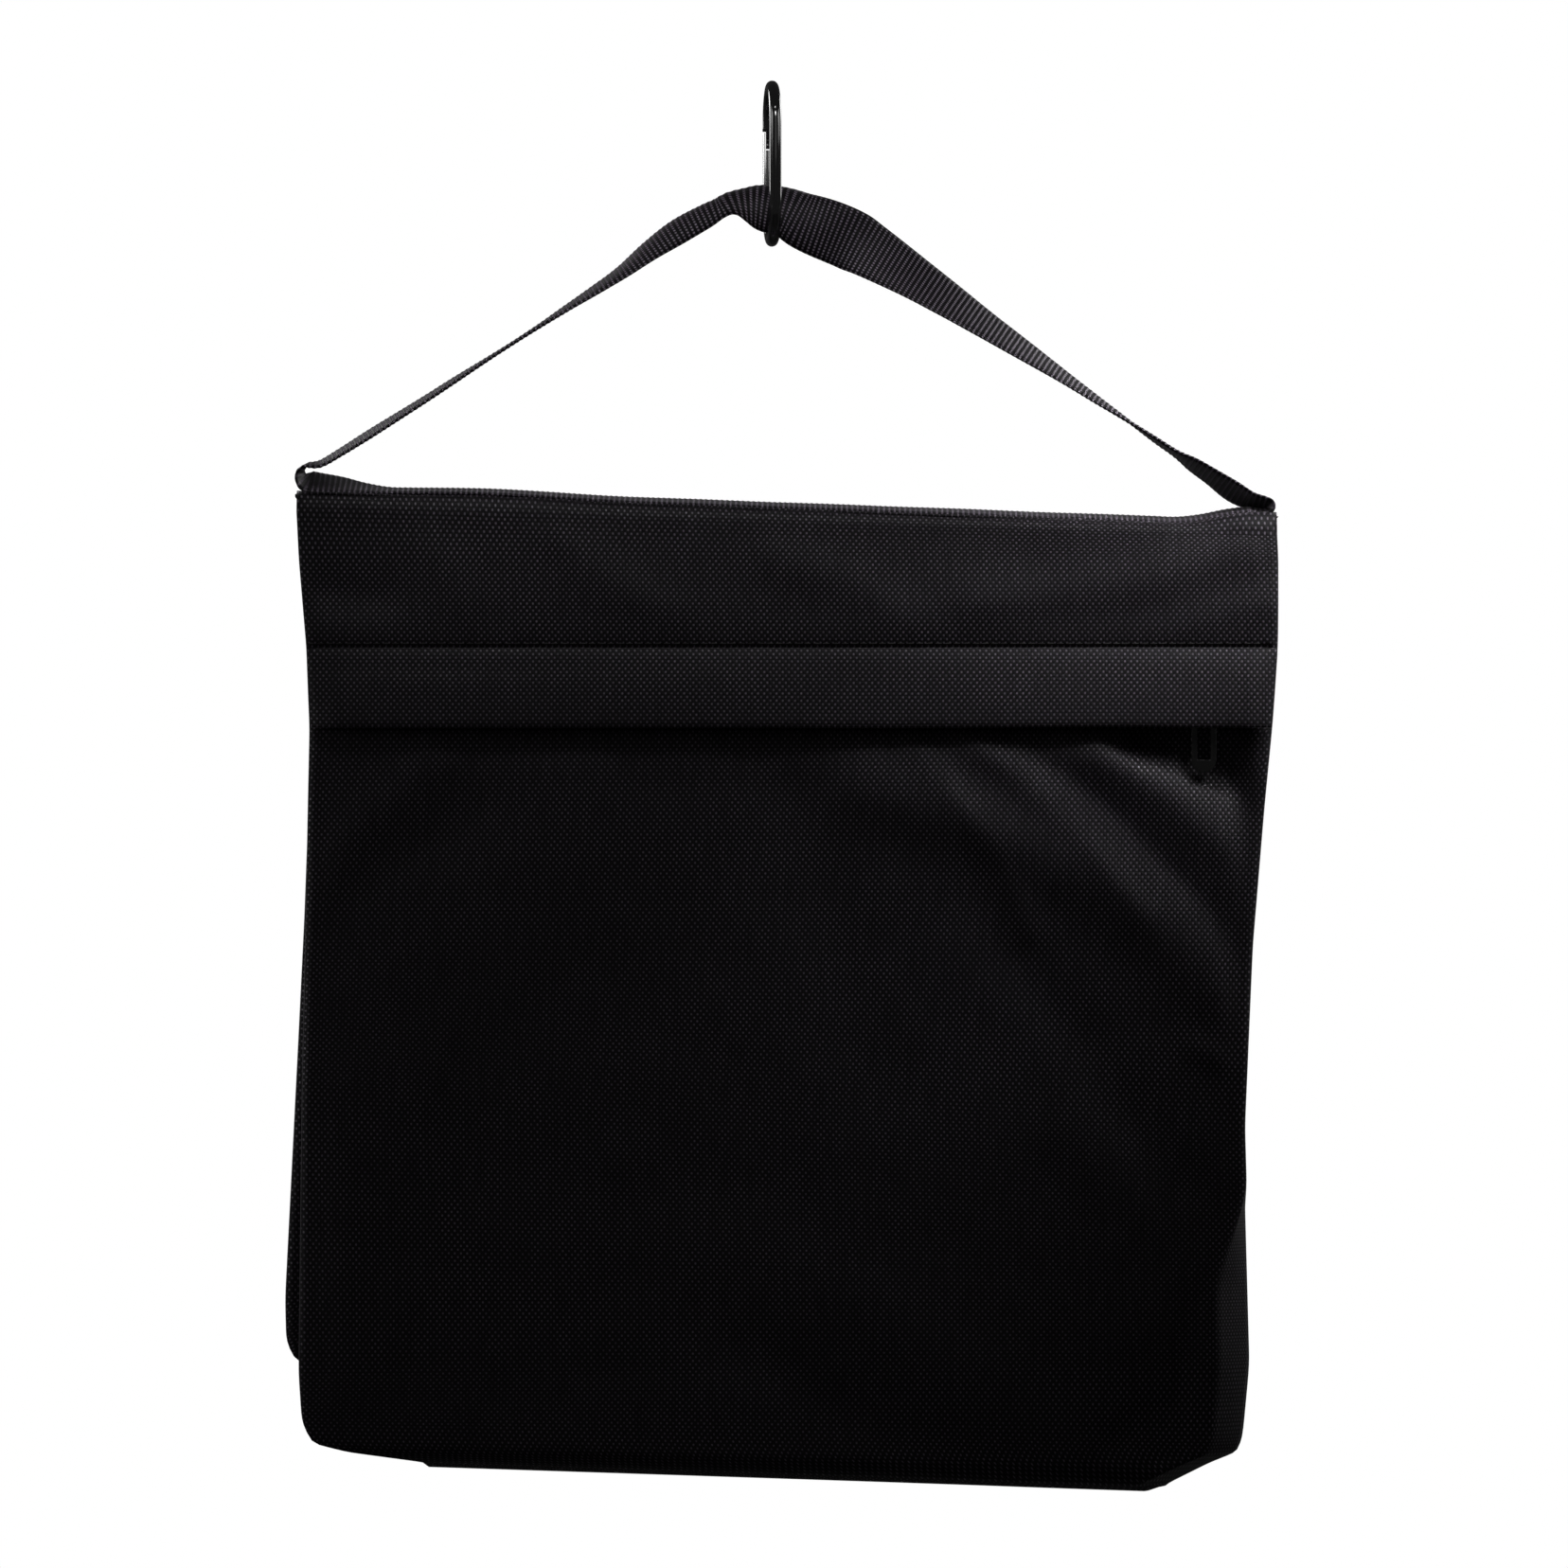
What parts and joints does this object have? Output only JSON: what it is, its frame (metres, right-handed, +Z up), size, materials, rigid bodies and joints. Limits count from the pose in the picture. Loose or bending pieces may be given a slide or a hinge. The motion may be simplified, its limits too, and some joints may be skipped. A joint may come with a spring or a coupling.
{
  "type": "saddlebag sandbag",
  "caption": "Empty fabric saddlebag for weighting stands: zipped pouches hang back to back from a webbing handle clipped in a carabiner.",
  "frame": {"origin": "inner crown of the carabiner, where it rests on what holds it up", "axes": "+X along the ridge to the right as seen from the front, +Y to the rear pouch, +Z up"},
  "size_m": [0.4031, 0.0598, 0.5714],
  "materials": {
    "oxford_cloth": "matte",
    "webbing": "matte",
    "zip_tape": "matte",
    "zip_nylon": "satin",
    "slider_black": "gloss",
    "carabiner_black": "gloss",
    "gate_silver": "polished",
    "pin_steel": "satin"
  },
  "bodies": {
    "carabiner": {"carabiner_body": "carabiner_black", "gate_rivet": "pin_steel"},
    "gate": {"gate": "gate_silver", "latch_pin": "pin_steel"},
    "handle": {"handle_webbing": "webbing"},
    "saddle": {"left_strap_end": "webbing", "right_strap_end": "webbing", "ridge_webbing": "webbing", "saddle_top": "oxford_cloth"},
    "front_pouch": {"front_yoke": "oxford_cloth", "front_upper_tape": "zip_tape", "front_lower_tape": "zip_tape", "front_upper_coil": "zip_nylon", "front_lower_coil": "zip_nylon", "front_open_stop": "zip_nylon", "front_closed_stop": "zip_nylon", "front_face": "oxford_cloth", "front_gusset": "oxford_cloth", "front_back": "oxford_cloth"},
    "front_flap": {"front_flap": "oxford_cloth"},
    "front_slider": {"front_slider": "slider_black"},
    "front_pull": {"front_pull": "slider_black"},
    "rear_pouch": {"rear_yoke": "oxford_cloth", "rear_upper_tape": "zip_tape", "rear_lower_tape": "zip_tape", "rear_upper_coil": "zip_nylon", "rear_lower_coil": "zip_nylon", "rear_open_stop": "zip_nylon", "rear_closed_stop": "zip_nylon", "rear_face": "oxford_cloth", "rear_gusset": "oxford_cloth", "rear_back": "oxford_cloth"},
    "rear_flap": {"rear_flap": "oxford_cloth"},
    "rear_slider": {"rear_slider": "slider_black"},
    "rear_pull": {"rear_pull": "slider_black"}
  },
  "joints": [
    {"name": "gate_hinge", "type": "hinge", "parent": "carabiner", "child": "gate", "pos_m": [-0.00144, 0.01644, -0.0429], "axis": [0.9962, 0.0872, 0], "range_deg": [0, 25], "stiffness_Nm_per_rad": 0.02, "springref_deg": -28.65},
    {"name": "bag_tilt", "type": "hinge", "parent": "carabiner", "child": "handle", "pos_m": [0, 0, -0.06025], "axis": [0, 1, 0], "range_deg": [-25, 25]},
    {"name": "bag_swing", "type": "hinge", "parent": "handle", "child": "saddle", "pos_m": [0, 0, -0.1295], "axis": [1, 0, 0], "range_deg": [-60, 60]},
    {"name": "front_pouch_swing", "type": "hinge", "parent": "saddle", "child": "front_pouch", "pos_m": [0.005, -0.0129, -0.16893], "axis": [-0.9994, 0, 0.036], "range_deg": [0, 75]},
    {"name": "front_flap_lift", "type": "hinge", "parent": "front_pouch", "child": "front_flap", "pos_m": [0.008, -0.0212, -0.2254], "axis": [-1, 0, 0], "range_deg": [0, 150]},
    {"name": "front_zip_slide", "type": "slide", "parent": "front_pouch", "child": "front_slider", "axis": [-1, 0, 0], "range_m": [-0.004, 0.338]},
    {"name": "front_pull_swing", "type": "hinge", "parent": "front_slider", "child": "front_pull", "pos_m": [0.1752, -0.02397, -0.248], "axis": [0, 1, 0], "range_deg": [-75, 75]},
    {"name": "rear_pouch_swing", "type": "hinge", "parent": "saddle", "child": "rear_pouch", "pos_m": [0.005, 0.0129, -0.16893], "axis": [0.9994, 0, -0.036], "range_deg": [0, 75]},
    {"name": "rear_flap_lift", "type": "hinge", "parent": "rear_pouch", "child": "rear_flap", "pos_m": [0.008, 0.0212, -0.2254], "axis": [1, 0, 0], "range_deg": [0, 150]},
    {"name": "rear_zip_slide", "type": "slide", "parent": "rear_pouch", "child": "rear_slider", "axis": [-1, 0, 0], "range_m": [-0.004, 0.338]},
    {"name": "rear_pull_swing", "type": "hinge", "parent": "rear_slider", "child": "rear_pull", "pos_m": [0.1752, 0.02397, -0.248], "axis": [0, 1, 0], "range_deg": [-75, 75]}
  ]
}
